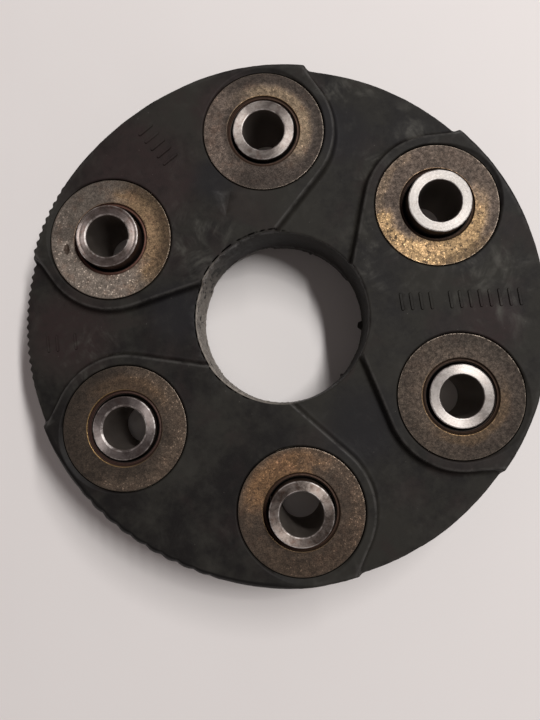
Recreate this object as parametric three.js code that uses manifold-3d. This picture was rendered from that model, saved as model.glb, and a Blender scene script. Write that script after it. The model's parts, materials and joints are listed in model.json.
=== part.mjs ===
// A flexible disc coupling for a propeller shaft. Six steel sleeves stand on one bolt circle in a rubber
// disc, three for the driving flange and three for the driven one, turn and turn about. Each sleeve is
// tied to both its neighbours by cord loops, which are moulded into the rubber on two levels.
//
// Units are millimetres. The origin is the centre of the disc and +Z leaves its front face. Station 1 is
// on +Y, and the stations count clockwise as the front face shows them.

import * as THREE from 'three';
import { mergeVertices } from 'three/addons/utils/BufferGeometryUtils.js';
import Module from 'manifold-3d';

// Driving dimensions of the disc
const STATIONS = 6;
const BOLT_CIRCLE = 110;
const DISC_DIAMETER = 150;
const HOLE_DIAMETER = 50;
const DISC_THICKNESS = 28; // from the front lobes' faces to the back lobes' faces
const LOBE_STEP = 3.3; // height of a lobe above the recess beside it
const LOBE_RADIUS = 20.6; // of the lobe's edge round a station
const LOBE_HOLE_ANGLE = 30 * THREE.MathUtils.DEG2RAD; // where that edge meets the hole, from the lobe's axis

// Driving dimensions of the steel pieces
const SLEEVE_DIAMETER = 18;
const BORE_DIAMETER = 12.2; // clears an M12 bolt
const SLEEVE_LONG_END = 4.2; // stands proud of the disc, into the flange's spigot hole
const SLEEVE_SHORT_END = 0.6; // stands proud of the disc, under the bolt's head or nut
const SLEEVE_CHAMFER = 0.6;
const BORE_CHAMFER = 0.4;
const COLLAR_DIAMETER = 35.5;
const COLLAR_SHEET = 2.2;
const COLLAR_SUNK = 0.3; // the collar's face below the lobe's face
const COLLAR_BEND = 1.1; // radius of the rounded turn from flange to neck
const NECK_BORE_DIAMETER = 18.8;
const NECK_WALL = 2;
const MIDDLE_RING_DIAMETER = 32.6;
const MIDDLE_RING_THICKNESS = 1.4;

// Driving dimensions of the cord loops
const CORD_OUTER_RADIUS = 17.2; // round each station's axis
const CORD_INNER_RADIUS = 11.7;

const GAP = 0.3; // clearance between neighbours that are bonded in the real part
const OVERRUN = 5; // how far a cutter runs past what it cuts
const RECESS_REACH = 60; // length of a recess cutter's sides past the rim

// How finely the round shapes are faceted: segments in a full turn, or in half a turn of a slot's end
const DISC_SEGMENTS = 72;
const SLEEVE_SEGMENTS = 24;
const COLLAR_SEGMENTS = 24;
const SLOT_END_SEGMENTS = 12;
const LOBE_ARC_SEGMENTS = 8;

const HALF_THICKNESS = DISC_THICKNESS / 2;
const RECESS_LEVEL = HALF_THICKNESS - LOBE_STEP;
const PITCH_RADIUS = BOLT_CIRCLE / 2;
const STEP_ANGLE = (2 * Math.PI) / STATIONS;
const PAIR_HALF_CHORD = PITCH_RADIUS * Math.sin(STEP_ANGLE / 2);
const PAIR_DISTANCE = PITCH_RADIUS * Math.cos(STEP_ANGLE / 2);
const COLLAR_FACE = HALF_THICKNESS - COLLAR_SUNK;
const COLLAR_UNDERSIDE = COLLAR_FACE - COLLAR_SHEET;
const NECK_INNER = NECK_BORE_DIAMETER / 2;
const NECK_OUTER = NECK_INNER + NECK_WALL;
const NECK_END = MIDDLE_RING_THICKNESS / 2 + GAP;
const CORD_BOTTOM = MIDDLE_RING_THICKNESS / 2 + GAP;
const CORD_TOP = COLLAR_UNDERSIDE - GAP;

const wasm = await Module();
wasm.setup();

// Materials
const finish = (color, roughness, metalness) => ({ color, roughness, metalness });
const RUBBER = finish(0x2b2826, 0.62, 0);
const CORD = finish(0x6b6152, 0.85, 0);
const SLEEVE_STEEL = finish(0xb9b3ae, 0.34, 1);
const COLLAR_STEEL = finish(0x5f564a, 0.48, 0.85);
const RING_STEEL = finish(0x6a655e, 0.5, 0.85);

// ---- geometry helpers ----

function weld(geometry) {
  geometry.deleteAttribute('normal');
  geometry.deleteAttribute('uv');
  return mergeVertices(geometry);
}

function toSolid(geometry) {
  const welded = weld(geometry);
  return new wasm.Manifold(
    new wasm.Mesh({
      numProp: 3,
      vertProperties: new Float32Array(welded.attributes.position.array),
      triVerts: new Uint32Array(welded.index.array),
    }),
  );
}

function toGeometry(solid) {
  const mesh = solid.getMesh();
  const geometry = new THREE.BufferGeometry();
  geometry.setAttribute('position', new THREE.BufferAttribute(mesh.vertProperties, 3));
  geometry.setIndex(new THREE.BufferAttribute(mesh.triVerts, 1));
  return geometry;
}

function named(name, geometry, look) {
  const mesh = new THREE.Mesh(geometry, new THREE.MeshStandardMaterial(look));
  geometry.computeVertexNormals();
  mesh.name = name;
  return mesh;
}

// A ring turned about Z from an outline of [radius, height] corners, listed up its outside
function turned(outline, segments) {
  const corners = [...outline, outline[0]].map(([radius, height]) => new THREE.Vector2(radius, height));
  const geometry = new THREE.LatheGeometry(corners, segments);
  geometry.rotateX(Math.PI / 2);
  return weld(geometry);
}

// A shape in the XY plane, drawn up from one height to another. Each arc in it gets arcSegments.
function prism(shape, bottom, top, arcSegments) {
  const depth = top - bottom;
  const geometry = new THREE.ExtrudeGeometry(shape, {
    depth,
    bevelEnabled: false,
    curveSegments: arcSegments / 2,
  });
  return geometry.translate(0, 0, bottom);
}

function circle(radius) {
  return new THREE.Shape().absarc(0, 0, radius, 0, 2 * Math.PI, false);
}

function polar(radius, angle) {
  return new THREE.Vector2(radius * Math.cos(angle), radius * Math.sin(angle));
}

// ---- the layout of the stations ----

function stationAngle(number) {
  return Math.PI / 2 - (number - 1) * STEP_ANGLE;
}

const stations = Array.from({ length: STATIONS }, (_, index) => {
  const number = index + 1;
  const place = polar(PITCH_RADIUS, stationAngle(number));
  return { number, place, longEndInFront: number % 2 === 0 };
});

// A pair is two neighbouring stations with one cord loop, on the front level or on the back one
const pairs = stations.map(({ number }) => {
  const next = (number % STATIONS) + 1;
  return {
    name: `${number}${next}`,
    axis: stationAngle(number) - STEP_ANGLE / 2,
    inFront: number % 2 === 0,
  };
});

// ---- steel pieces, each about its own station's axis ----

function sleeveGeometry() {
  const top = HALF_THICKNESS + SLEEVE_LONG_END;
  const bottom = -HALF_THICKNESS - SLEEVE_SHORT_END;
  const outer = SLEEVE_DIAMETER / 2;
  const inner = BORE_DIAMETER / 2;
  const outline = [
    [outer - SLEEVE_CHAMFER, bottom],
    [outer, bottom + SLEEVE_CHAMFER],
    [outer, top - SLEEVE_CHAMFER],
    [outer - SLEEVE_CHAMFER, top],
    [inner + BORE_CHAMFER, top],
    [inner, top - BORE_CHAMFER],
    [inner, bottom + BORE_CHAMFER],
    [inner + BORE_CHAMFER, bottom],
  ];
  return turned(outline, SLEEVE_SEGMENTS);
}

function collarGeometry() {
  const bendMiddle = COLLAR_BEND * (1 - Math.SQRT1_2);
  const outline = [
    [NECK_OUTER, NECK_END],
    [NECK_OUTER, COLLAR_UNDERSIDE],
    [COLLAR_DIAMETER / 2, COLLAR_UNDERSIDE],
    [COLLAR_DIAMETER / 2, COLLAR_FACE],
    [NECK_INNER + COLLAR_BEND, COLLAR_FACE],
    [NECK_INNER + bendMiddle, COLLAR_FACE - bendMiddle],
    [NECK_INNER, COLLAR_FACE - COLLAR_BEND],
    [NECK_INNER, NECK_END],
  ];
  return turned(outline, COLLAR_SEGMENTS);
}

function middleRingGeometry() {
  const half = MIDDLE_RING_THICKNESS / 2;
  const outline = [
    [MIDDLE_RING_DIAMETER / 2, -half],
    [MIDDLE_RING_DIAMETER / 2, half],
    [NECK_INNER, half],
    [NECK_INNER, -half],
  ];
  return turned(outline, COLLAR_SEGMENTS);
}

function stationGroup({ number, place, longEndInFront }) {
  const group = new THREE.Group();
  const sleeve = named(`sleeve_${number}`, sleeveGeometry(), SLEEVE_STEEL);
  const frontCollar = named(`front_collar_${number}`, collarGeometry(), COLLAR_STEEL);
  const backCollar = named(`back_collar_${number}`, collarGeometry(), COLLAR_STEEL);
  const middleRing = named(`middle_ring_${number}`, middleRingGeometry(), RING_STEEL);
  sleeve.rotation.x = longEndInFront ? 0 : Math.PI;
  backCollar.rotation.x = Math.PI;
  group.add(sleeve, frontCollar, backCollar, middleRing);
  group.position.set(place.x, place.y, 0);
  return group;
}

// ---- cord loops, each drawn with its pair's axis along +X ----

function slotPath(path, radius) {
  path.absarc(PAIR_DISTANCE, PAIR_HALF_CHORD, radius, 0, Math.PI, false);
  path.absarc(PAIR_DISTANCE, -PAIR_HALF_CHORD, radius, Math.PI, 2 * Math.PI, false);
  path.closePath();
  return path;
}

// The loop of a pair on the front level, grown on every side by the margin
function loopGeometry(margin) {
  const shape = slotPath(new THREE.Shape(), CORD_OUTER_RADIUS + margin);
  shape.holes.push(slotPath(new THREE.Path(), CORD_INNER_RADIUS - margin));
  return prism(shape, CORD_BOTTOM - margin, CORD_TOP + margin, SLOT_END_SEGMENTS);
}

// Turns a front-level geometry onto its pair, and over onto the back level where the pair lies there
function placeOnPair(geometry, { axis, inFront }) {
  if (!inFront) geometry.rotateX(Math.PI);
  return geometry.rotateZ(axis);
}

function loopMesh(pair) {
  const side = pair.inFront ? 'front' : 'back';
  return named(`${side}_cord_loop_${pair.name}`, weld(placeOnPair(loopGeometry(0), pair)), CORD);
}

// ---- the rubber body ----

// The recess between two lobes, with its own axis along +X. Its sides run straight in from the rim,
// parallel to the lobes' axes, turn round the stations on either side, and run straight to the hole.
function recessShape() {
  const station = new THREE.Vector2(PAIR_DISTANCE, -PAIR_HALF_CHORD);
  const lobeAxis = -STEP_ANGLE;
  const rimTurn = lobeAxis + Math.PI / 2;
  const holePoint = polar(HOLE_DIAMETER / 2, lobeAxis + LOBE_HOLE_ANGLE);
  const toHole = holePoint.clone().sub(station);
  const holeTurn = toHole.angle() - Math.acos(LOBE_RADIUS / toHole.length());
  const leavesArc = station.clone().add(polar(LOBE_RADIUS, holeTurn));
  const inner = holePoint.clone().sub(leavesArc).setLength(OVERRUN).add(holePoint);
  const outer = station.clone().add(polar(LOBE_RADIUS, rimTurn)).add(polar(RECESS_REACH, lobeAxis));

  const shape = new THREE.Shape();
  shape.moveTo(inner.x, -inner.y);
  shape.lineTo(inner.x, inner.y);
  shape.absarc(station.x, station.y, LOBE_RADIUS, holeTurn, rimTurn, true);
  shape.lineTo(outer.x, outer.y);
  shape.lineTo(outer.x, -outer.y);
  shape.absarc(station.x, -station.y, LOBE_RADIUS, -rimTurn, -holeTurn, true);
  shape.closePath();
  return shape;
}

// A recess on the front face lies over each pair whose loop is on the back level, and the other way round
function recessCutter(pair) {
  const geometry = prism(recessShape(), RECESS_LEVEL, HALF_THICKNESS + OVERRUN, LOBE_ARC_SEGMENTS);
  return toSolid(placeOnPair(geometry, { axis: pair.axis, inFront: !pair.inFront }));
}

// The room for one station's collars, middle ring and sleeve, right through the disc
function stationCutter({ place }) {
  const past = HALF_THICKNESS + OVERRUN;
  const seat = circle(COLLAR_DIAMETER / 2 + GAP);
  const seatFloor = COLLAR_UNDERSIDE - GAP;
  const well = toSolid(prism(circle(NECK_OUTER + GAP), -past, past, COLLAR_SEGMENTS));
  const frontSeat = toSolid(prism(seat, seatFloor, past, COLLAR_SEGMENTS));
  const backSeat = toSolid(prism(seat, -past, -seatFloor, COLLAR_SEGMENTS));
  const slot = toSolid(
    prism(circle(MIDDLE_RING_DIAMETER / 2 + GAP), -NECK_END, NECK_END, COLLAR_SEGMENTS),
  );
  return well.add(frontSeat).add(backSeat).add(slot).translate([place.x, place.y, 0]);
}

function rubberBody() {
  const ring = circle(DISC_DIAMETER / 2);
  ring.holes.push(new THREE.Path().absarc(0, 0, HOLE_DIAMETER / 2, 0, 2 * Math.PI, true));
  const blank = toSolid(prism(ring, -HALF_THICKNESS, HALF_THICKNESS, DISC_SEGMENTS));
  const cutters = [
    ...pairs.map(recessCutter),
    ...stations.map(stationCutter),
    ...pairs.map((pair) => toSolid(placeOnPair(loopGeometry(GAP), pair))),
  ];
  const body = cutters.reduce((solid, cutter) => solid.subtract(cutter), blank);
  return named('rubber_body', toGeometry(body), RUBBER);
}

const coupling = new THREE.Group();
coupling.name = 'flexible_disc_coupling';
coupling.add(rubberBody(), ...stations.map(stationGroup), ...pairs.map(loopMesh));

export default coupling;
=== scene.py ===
"""The looks of a flexible disc coupling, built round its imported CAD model.

Lengths in the shape code are millimetres, in the CAD's own frame: the origin is the disc's centre and +Z
leaves its front face. They become metres where a mesh is made.
"""
import json
import math

import bmesh
import bpy
import numpy as np
from mathutils import Euler, Matrix, Vector, noise
from mathutils.geometry import delaunay_2d_cdt


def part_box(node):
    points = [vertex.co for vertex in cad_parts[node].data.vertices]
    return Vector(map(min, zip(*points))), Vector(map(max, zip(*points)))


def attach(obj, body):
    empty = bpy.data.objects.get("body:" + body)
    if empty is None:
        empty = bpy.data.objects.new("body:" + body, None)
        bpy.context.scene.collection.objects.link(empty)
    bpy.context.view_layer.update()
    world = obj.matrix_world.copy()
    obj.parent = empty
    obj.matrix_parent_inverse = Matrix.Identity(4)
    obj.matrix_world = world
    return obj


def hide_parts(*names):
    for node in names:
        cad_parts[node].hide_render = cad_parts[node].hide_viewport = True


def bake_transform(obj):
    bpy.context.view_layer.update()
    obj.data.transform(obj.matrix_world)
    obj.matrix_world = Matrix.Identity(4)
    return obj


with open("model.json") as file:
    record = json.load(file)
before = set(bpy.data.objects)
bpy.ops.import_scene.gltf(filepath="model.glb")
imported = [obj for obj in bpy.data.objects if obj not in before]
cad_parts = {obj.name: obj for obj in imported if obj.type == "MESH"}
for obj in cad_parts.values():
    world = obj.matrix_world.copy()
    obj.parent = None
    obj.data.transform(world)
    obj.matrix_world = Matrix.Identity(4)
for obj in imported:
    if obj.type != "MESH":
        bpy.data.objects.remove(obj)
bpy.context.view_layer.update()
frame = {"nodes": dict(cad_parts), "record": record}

MM = 0.001
TURN = 2 * math.pi


def box_mm(node):
    """Lowest and highest corner of a CAD node, in millimetres."""
    return [np.array(corner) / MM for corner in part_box(node)]


def centre_mm(node):
    low, high = box_mm(node)
    return (low + high) / 2


def radius_of(node):
    """Half of a CAD node's width along X, in millimetres."""
    low, high = box_mm(node)
    return (high[0] - low[0]) / 2


def heights(node):
    """The lowest and highest level of a CAD node, in millimetres."""
    return [corner[2] for corner in box_mm(node)]


# ---- sizes read from the frame ----

STATIONS = range(1, 7)
LOOPS = [name for name in frame["nodes"] if "cord_loop" in name]
PLACES = {n: centre_mm(f"sleeve_{n}")[:2] for n in STATIONS}
PITCH_RADIUS = float(np.hypot(*PLACES[1]))
HALF_CHORD = float(np.hypot(*(PLACES[1] - PLACES[2]))) / 2
PAIR_DISTANCE = math.sqrt(PITCH_RADIUS ** 2 - HALF_CHORD ** 2)
FIN_RADIUS = box_mm("rubber_body")[1][0]
LOBE_LEVEL = heights("rubber_body")[1]
FLOOR_LEVEL = heights("sleeve_1")[0]
HOLE_RADIUS = min(math.hypot(v.co.x, v.co.y) for v in frame["nodes"]["rubber_body"].data.vertices) / MM
COLLAR_RADIUS = radius_of("front_collar_1")
NECK_END, COLLAR_FACE = heights("front_collar_1")
SLEEVE_RADIUS = radius_of("sleeve_1")
RING_RADIUS = radius_of("middle_ring_1")
RING_HALF = heights("middle_ring_1")[1]
LOOP_BOTTOM, LOOP_TOP = heights("front_cord_loop_23")
LOOP_OUTER = radius_of("front_cord_loop_23")

# ---- sizes of the CAD source that its nodes' boxes don't tell ----

LOBE_STEP = 3.3
LOBE_RADIUS = 20.6
LOBE_HOLE_ANGLE = math.radians(30)
BORE_RADIUS = 6.1
COLLAR_SHEET = 2.2
NECK_INNER = 9.4
NECK_OUTER = 11.4
LOOP_INNER = 11.7
GAP = 0.3

RECESS_LEVEL = LOBE_LEVEL - LOBE_STEP
SEAT_RADIUS = COLLAR_RADIUS + GAP
SEAT_FLOOR = COLLAR_FACE - COLLAR_SHEET - GAP
WELL_RADIUS = NECK_OUTER + GAP


# ---- mesh helpers ----

def make_object(name, points, faces, smooth=True):
    """A mesh object from points in millimetres."""
    mesh = bpy.data.meshes.new(name)
    mesh.from_pydata((np.asarray(points, float) * MM).tolist(), [], faces)
    mesh.validate()
    if smooth:
        mesh.polygons.foreach_set("use_smooth", [True] * len(mesh.polygons))
    mesh.update()
    obj = bpy.data.objects.new(name, mesh)
    bpy.context.scene.collection.objects.link(obj)
    return obj


def strip_faces(upper, lower, flip=False):
    """Quads between two closed rows of vertex numbers."""
    count = len(upper)
    quads = [(upper[i], lower[i], lower[(i + 1) % count], upper[(i + 1) % count]) for i in range(count)]
    return [quad[::-1] for quad in quads] if flip else quads


def tube_faces(row_count, row_length, flip=False):
    """Quads between closed rows of points, the last row joined to the first."""
    rows = np.arange(row_count * row_length).reshape(row_count, row_length).tolist()
    return [quad for k in range(row_count) for quad in strip_faces(rows[k], rows[(k + 1) % row_count], flip)]


def wave(x, seed, octaves=3):
    """A smooth repeatable wobble of about -1 to 1 at x, which is one number or three."""
    place = Vector((x, 0, 0)) if isinstance(x, (int, float)) else Vector(x)
    return noise.fractal(place + Vector((seed * 17.3, seed * 5.1, seed * 9.7)), 1.0, 2.0, octaves)


def waves(places, seed, octaves=3):
    return np.array([wave(place, seed, octaves) for place in places])


def soft_step(share):
    """The share held between 0 and 1, with a soft start and end."""
    share = np.clip(share, 0, 1)
    return share * share * (3 - 2 * share)


def smooth_window(angles, window):
    """1 along a stretch of a circle, 0 outside it. The window is where it starts, is full, fades and ends."""
    start, full, fade, end = window
    degrees = np.degrees(angles) % 360
    return soft_step(np.minimum((degrees - start) / (full - start), (end - degrees) / (end - fade)))


def angle_between(first, second):
    return np.abs((first - second + math.pi) % TURN - math.pi)


def even_turns(count):
    return np.arange(count) * TURN / count


def on_ring(radius, angles):
    return radius * np.stack([np.cos(angles), np.sin(angles)], -1)


def ring_points(radius, angles, height):
    radius, height = (np.broadcast_to(value, angles.shape) for value in (radius, height))
    return np.stack([radius * np.cos(angles), radius * np.sin(angles), height], 1)


# ---- the rubber body ----

SIDES = {"front": 1, "back": -1}
FAR = 1e9
# The lobe's wall: distance outside the lobe's edge, and the share of the step reached there
LOBE_WALL = [
    (2.1, 0.0), (1.7, 0.01), (1.35, 0.04), (1.05, 0.12), (0.8, 0.27), (0.55, 0.50), (0.3, 0.76),
    (0.08, 0.93), (-0.14, 0.982), (-0.36, 0.997), (-0.65, 1.0),
]
RIM_RADIUS = FIN_RADIUS - 1.1
RIM_SPACING = 0.36
HOLE_SPACING = 0.42
SEAT_SEGMENTS = 120
EDGE_SPACING = 0.8
FIELD_SPACING = 1.6
FIELD_CLEARANCE = 0.8
FIELD_JITTER = 0.28
EDGE_ROUNDING = 0.3
EDGE_DROP = 0.2
HOLE_RINGS = (0.2, 0.42, 0.64, 0.9)
FIN_BOTTOM = RECESS_LEVEL - 1.7
ROW_HEIGHTS = (6.0, 2.0, -2.0, -6.0)
SWELL_WIDTH = 8
FIELD_SEED = 4
RIPPLE_HEIGHT = 0.06
RIPPLE_SIZE = 9
RIPPLE_SEEDS = {"front": 3, "back": 8}
# A triangle whose middle lies no further than this outside a hole's edge is a sliver of the hole itself
SLIVER = 0.02

# The groove round the hole: how far out and half how wide it lies, and its depth
GROOVE_OFFSET = 0.42
GROOVE_HALF_WIDTH = 0.24
GROOVE_DEPTHS = {"front": 1.4, "back": 0.3}

# Stretches of the rim and of the hole, in degrees: where each starts, is full, fades and ends
BULGED = (190, 215, 262, 280)
TRIMMED = (32, 40, 76, 82)
TOOTHED = (140, 150, 184, 192)
SCALLOPED = (212, 220, 246, 254)
FINNED = (198, 212, 262, 272)
GROOVED = (70, 105, 225, 255)
TORN = (80, 150, 235, 275)
# The middles of the rim's fin, darkened with painted shade, and of the torn part of the hole's wall, whose
# grey is laid on the side facing the key light and so is partly painted light, and the fin's half width, in
# degrees
SHADED_FIN_MIDDLE = 233
FIN_HALF = 38
TORN_LIT_MIDDLE = 203
# Small lumps low on the hole's wall: the angle, reach and half width of each
NUBS = [(math.radians(-7), 1.2, 1.35), (math.radians(-47), 0.6, 0.5), (math.radians(63), 0.4, 0.4)]
WALL_SHARES = (0.04, 0.08, 0.13, 0.19, 0.25, 0.32, 0.39, 0.46, 0.53, 0.60, 0.67, 0.74, 0.81, 0.88, 0.94)

# Generic raised mould marks: (x, y) of the middle, angle in degrees, length and half width
TICKS = [(34.2 + 2.75 * i, 0.5 - 0.15 * i, 93, 5.2, 0.5) for i in range(13) if i != 4]
TICKS += [(-34.6 + 1.62 * i, 59.0 - 2.42 * i, 34, 5.4, 0.5) for i in range(5)]
TICKS += [(-69.0 + 2.7 * i, -1.2, 92, 5.0, 0.45) for i in (0, 1, 3)]
# A shallow sunk triangle, and how far its sides slope
TRIANGLE = [(-15.6, 38.7), (-13.3, 30.2), (-11.0, 38.1)]
TRIANGLE_DEPTH = 0.3
TRIANGLE_SLOPE = 0.35
MARK_HEIGHT = 0.42
MARK_DRAFT = 0.2


def lobe_axes(side):
    return [math.atan2(*centre_mm(name)[1::-1]) for name in LOOPS if name.startswith(side)]


def hole_turn():
    """The angle round a station, in its lobe's frame, where the lobe's edge leaves its arc for the hole."""
    x = HOLE_RADIUS * math.cos(LOBE_HOLE_ANGLE) - PAIR_DISTANCE
    y = HOLE_RADIUS * math.sin(LOBE_HOLE_ANGLE) - HALF_CHORD
    return math.atan2(y, x) % TURN - math.acos(LOBE_RADIUS / math.hypot(x, y))


HOLE_TURN = hole_turn()
# The straight part of a lobe's edge, from there to the hole: its outward direction, and the way it runs
EDGE_NORMAL = np.array([math.cos(HOLE_TURN), math.sin(HOLE_TURN)])
EDGE_ALONG = np.array([-EDGE_NORMAL[1], EDGE_NORMAL[0]])


def rotated(points, angle):
    c, s = math.cos(angle), math.sin(angle)
    return np.stack([points[..., 0] * c - points[..., 1] * s, points[..., 0] * s + points[..., 1] * c], -1)


def lobe_distance(points, side):
    """How far each point lies outside the nearest lobe of that side, negative inside it."""
    best = np.full(len(points), FAR)
    for axis in lobe_axes(side):
        local = rotated(points, -axis)
        x, y = local[:, 0] - PAIR_DISTANCE, np.abs(local[:, 1]) - HALF_CHORD
        to_hole_edge = x * EDGE_NORMAL[0] + y * EDGE_NORMAL[1]
        past_rim = x > 0
        past_hole = x * EDGE_ALONG[0] + y * EDGE_ALONG[1] > 0
        cases = [past_rim & past_hole, past_rim, past_hole]
        reach = np.select(cases, [np.maximum(y, to_hole_edge), y, to_hole_edge], np.hypot(x, y))
        best = np.where(local[:, 0] < 0, best, np.minimum(best, reach - LOBE_RADIUS))
    return best


def lobe_edge(offset):
    """Half of a lobe's edge at that offset, in the lobe's frame, from the hole circle to the rim circle."""
    radius = LOBE_RADIUS + offset
    centre = np.array([PAIR_DISTANCE, HALF_CHORD])
    leave = centre + radius * EDGE_NORMAL
    b, c = leave @ EDGE_ALONG, leave @ leave - HOLE_RADIUS ** 2
    hole_end = leave + EDGE_ALONG * (-b - math.sqrt(b * b - c))
    rim_y = HALF_CHORD + radius
    rim_end = np.array([math.sqrt(RIM_RADIUS ** 2 - rim_y ** 2), rim_y])
    steps = math.ceil((HOLE_TURN - math.pi / 2) * radius / EDGE_SPACING)
    arc = centre + on_ring(radius, HOLE_TURN + (math.pi / 2 - HOLE_TURN) * np.arange(steps) / steps)
    return np.vstack([segment(hole_end, leave), arc, segment(centre + [0, radius], rim_end), rim_end])


def segment(start, end):
    steps = max(1, math.ceil(np.hypot(*(end - start)) / EDGE_SPACING))
    return start + (end - start) * np.arange(steps)[:, None] / steps


def lobe_edges(side):
    """Every offset curve of every lobe of a side."""
    curves = []
    for offset, _ in LOBE_WALL:
        half = lobe_edge(offset)
        for axis in lobe_axes(side):
            curves += [rotated(half, axis), rotated(half * [1, -1], axis)]
    return curves


def ring_angles(radius, spacing, ends):
    """Angles round a ring: even ones, and exactly those where the lobes' edges end on it."""
    special = np.sort(np.arctan2(ends[:, 1], ends[:, 0]) % TURN)
    even = np.arange(0, TURN, spacing / radius)
    gap = angle_between(even[:, None], special[None]).min(1)
    return np.sort(np.concatenate([special, even[gap > 0.35 * spacing / radius]]))


def tick_outline(tick, grow):
    """The outline of a raised mark, a bar with round ends, moved outwards by that much."""
    x, y, angle, length, half_width = tick
    count = 6
    right = np.linspace(-math.pi / 2, math.pi / 2, count)
    left = np.linspace(math.pi / 2, 1.5 * math.pi, count)
    ends = np.repeat([length / 2 - half_width, half_width - length / 2], count)
    outline = on_ring(half_width + grow, np.concatenate([right, left])) + np.stack([ends, 0 * ends], 1)
    return rotated(outline, math.radians(angle)) + [x, y]


def tick_height(points):
    """The raised marks' height over each point."""
    height = np.zeros(len(points))
    for x, y, angle, length, half_width in TICKS:
        local = rotated(points - [x, y], -math.radians(angle))
        beyond = np.maximum(np.abs(local[:, 0]) - (length / 2 - half_width), 0)
        inside = half_width - np.hypot(beyond, local[:, 1])
        height = np.maximum(height, MARK_HEIGHT * np.clip(inside / MARK_DRAFT, 0, 1))
    return height


def triangle_inside(points):
    """How far each point lies inside the sunk triangle's nearest side."""
    inside = np.full(len(points), FAR)
    for start, end in zip(TRIANGLE, TRIANGLE[1:] + TRIANGLE[:1]):
        along = np.subtract(end, start) / math.dist(start, end)
        inside = np.minimum(inside, (points - start) @ [-along[1], along[0]])
    return inside


def triangle_outline(grow):
    """The triangle's outline, moved outwards by that much."""
    corners = np.array(TRIANGLE, float)
    middle = corners.mean(0)
    inner = float(triangle_inside(middle[None])[0])
    corners = middle + (corners - middle) * (1 + grow / inner)
    return np.vstack([segment(corners[k], corners[(k + 1) % 3]) for k in range(3)])


class Sheet:
    """One face of the rubber: points, and the chains of them that the triangles must follow."""

    def __init__(self):
        self.points, self.chains, self.count = [], [], 0

    def scatter(self, points):
        """Adds loose points and returns their numbers."""
        numbers = list(range(self.count, self.count + len(points)))
        self.points.append(points)
        self.count += len(points)
        return numbers

    def add(self, points, closed):
        """Adds a chain of points and returns their numbers."""
        numbers = self.scatter(points)
        self.chains += list(zip(numbers, numbers[1:]))
        if closed:
            self.chains.append((numbers[-1], numbers[0]))
        return numbers

    def everything(self):
        return np.vstack(self.points)

    def triangulated(self):
        """The flat points, the triangles between them, and the old numbers of each point."""
        points = [Vector(p) for p in self.everything()]
        flat, _, triangles, origins, _, _ = delaunay_2d_cdt(points, self.chains, [], 0, 1e-5, True)
        return np.array([tuple(p) for p in flat]), triangles, origins


def seat_distance(points):
    """How far each point lies outside the nearest collar's seat."""
    return np.min([np.hypot(*(points - place).T) for place in PLACES.values()], axis=0) - SEAT_RADIUS


def clear_of_edges(points, clearance=2.2 * EDGE_ROUNDING):
    """The points that keep clear of the rim, the hole and the seats."""
    radius = np.hypot(*points.T)
    keep = (radius < RIM_RADIUS - clearance) & (radius > HOLE_RADIUS + clearance)
    return points[keep & (seat_distance(points) > clearance)]


def field_points(taken):
    """A fine hexagonal scatter over the disc that keeps clear of the points already taken."""
    rows = np.arange(-RIM_RADIUS, RIM_RADIUS, FIELD_SPACING * math.sqrt(3) / 2)
    columns = np.arange(-RIM_RADIUS, RIM_RADIUS, FIELD_SPACING)
    x, y = np.meshgrid(columns, rows)
    x = x + (np.arange(len(rows)) % 2)[:, None] * FIELD_SPACING / 2
    grid = np.stack([x.ravel(), y.ravel()], 1)
    random = np.random.default_rng(FIELD_SEED)
    grid = grid + random.uniform(-FIELD_JITTER, FIELD_JITTER, grid.shape) * FIELD_SPACING
    cells = {}
    for point in taken:
        cells.setdefault(tuple((point // FIELD_CLEARANCE).astype(int)), []).append(point)
    free = []
    for point in clear_of_edges(grid, FIELD_CLEARANCE):
        cx, cy = (point // FIELD_CLEARANCE).astype(int)
        near = [p for dx in (-1, 0, 1) for dy in (-1, 0, 1) for p in cells.get((cx + dx, cy + dy), ())]
        if not near or (np.hypot(*(np.array(near) - point).T) > FIELD_CLEARANCE).all():
            free.append(point)
    return np.array(free)


def add_marks(sheet):
    """Adds the outlines of the raised marks and the sunk triangle, at the top and foot of their slopes."""
    for tick in TICKS:
        sheet.add(tick_outline(tick, 0), True)
        sheet.add(tick_outline(tick, -MARK_DRAFT), True)
    sheet.add(triangle_outline(0), True)
    sheet.add(triangle_outline(-TRIANGLE_SLOPE), True)


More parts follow.
